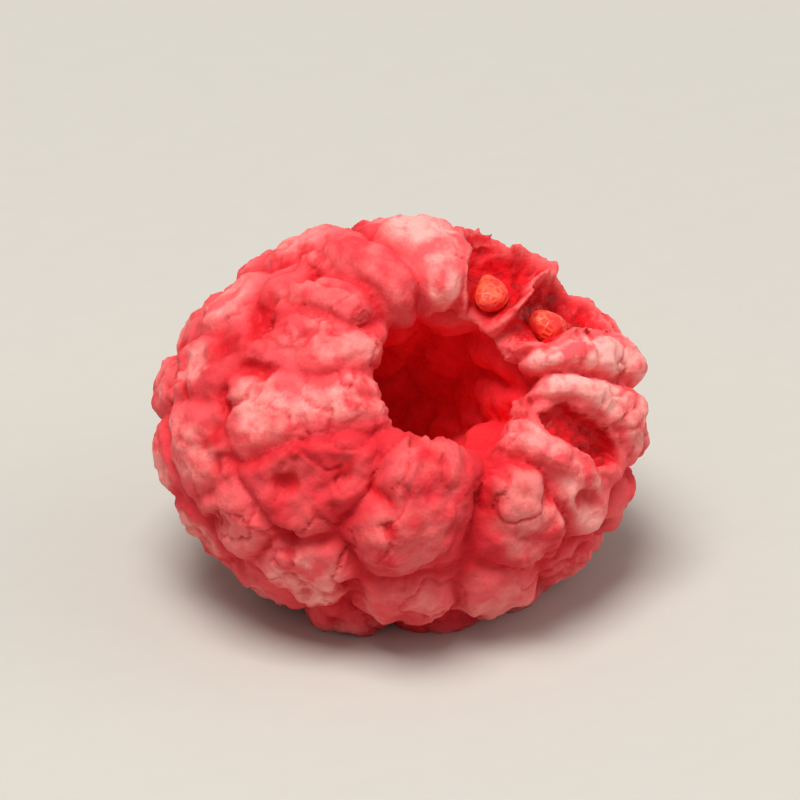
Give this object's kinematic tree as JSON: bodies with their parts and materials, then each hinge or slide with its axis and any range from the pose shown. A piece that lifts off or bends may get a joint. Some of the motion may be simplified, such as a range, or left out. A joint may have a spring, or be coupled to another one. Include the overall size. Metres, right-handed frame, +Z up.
{
  "type": "freeze-dried raspberry",
  "caption": "Whole freeze-dried raspberry: a squat oval thimble of joined drupelets around an open hollow, two of them broken open on their pips, lying tilted on a flattened patch.",
  "frame": {"origin": "centre of the footprint, on the surface that the berry rests on", "axes": "+Z up, +X along the berry's widest side, the mouth of the hollow turned towards -Y and up"},
  "size_m": [0.0208, 0.018, 0.0166],
  "materials": {
    "freeze_dried_flesh": "matte, dusty pink-red dried fruit skin, paler on the crests and deep red in the creases and the hollow",
    "pip": "hard netted seed coat, straw-coloured but stained orange-red by the juice, slightly glossy"
  },
  "bodies": {
    "root": {"raspberry": "freeze_dried_flesh", "upper_pip": "pip", "right_pip": "pip"}
  },
  "joints": []
}
